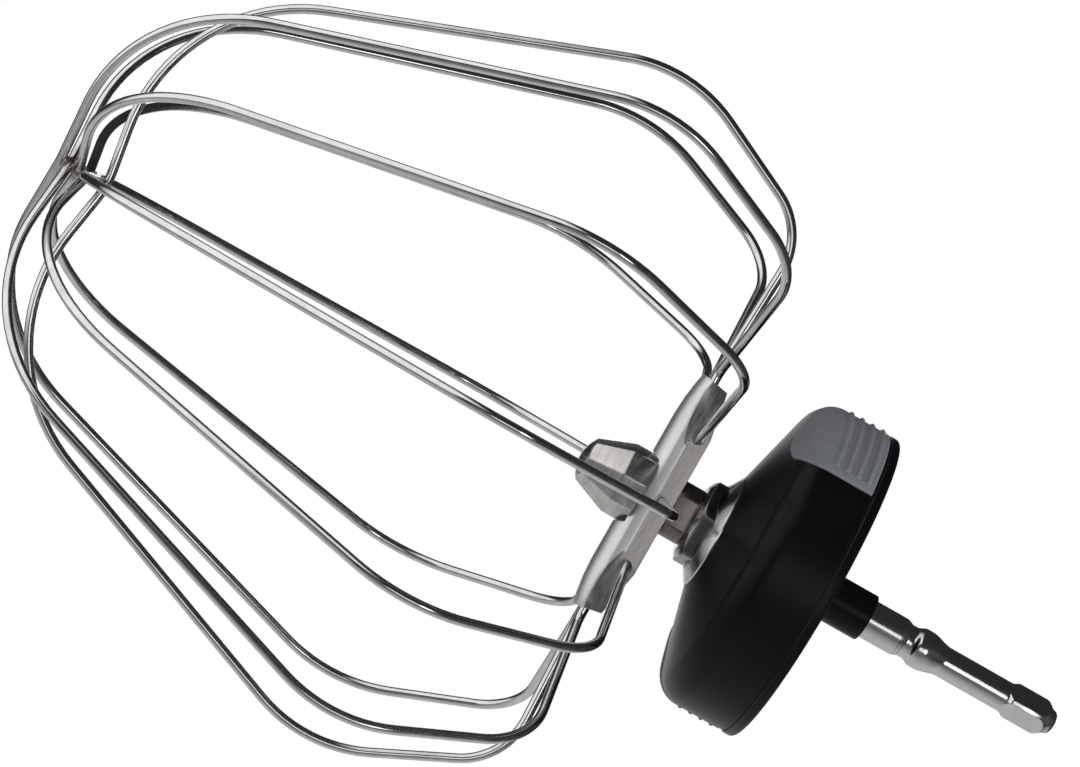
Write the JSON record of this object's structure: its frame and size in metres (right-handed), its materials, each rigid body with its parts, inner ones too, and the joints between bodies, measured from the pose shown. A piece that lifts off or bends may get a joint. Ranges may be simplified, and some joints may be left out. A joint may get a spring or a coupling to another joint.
{
  "type": "mixer whisk beater",
  "caption": "Balloon whisk beater for a stand mixer: crossed wire loops in a cross bar, lock nut, domed splash shield with grip pads and a drive shank.",
  "frame": {"origin": "on the shank's axis, at the middle of the plain seat just above the shield's collar", "axes": "+Z along the shank, away from the cage; +X along the cross bar; the wire cage hangs down -Z, as the whisk hangs in its mixer"},
  "size_m": [0.1796, 0.1796, 0.2702],
  "materials": {
    "wire": "polished",
    "weld": "heat tinted",
    "bar": "satin",
    "fittings": "brushed",
    "shank": "polished",
    "shield": "satin",
    "pads": "matt"
  },
  "bodies": {
    "root": {"wire_1": "wire", "wire_2": "wire", "wire_3": "wire", "wire_4": "wire", "wire_5": "wire", "wire_6": "wire", "tip_weld": "weld", "cross_bar": "bar", "nose_cap": "fittings", "hub_boss": "fittings", "lock_nut": "fittings", "shank": "shank", "shield": "shield", "grip_pad_1": "pads", "grip_pad_2": "pads"}
  },
  "joints": []
}
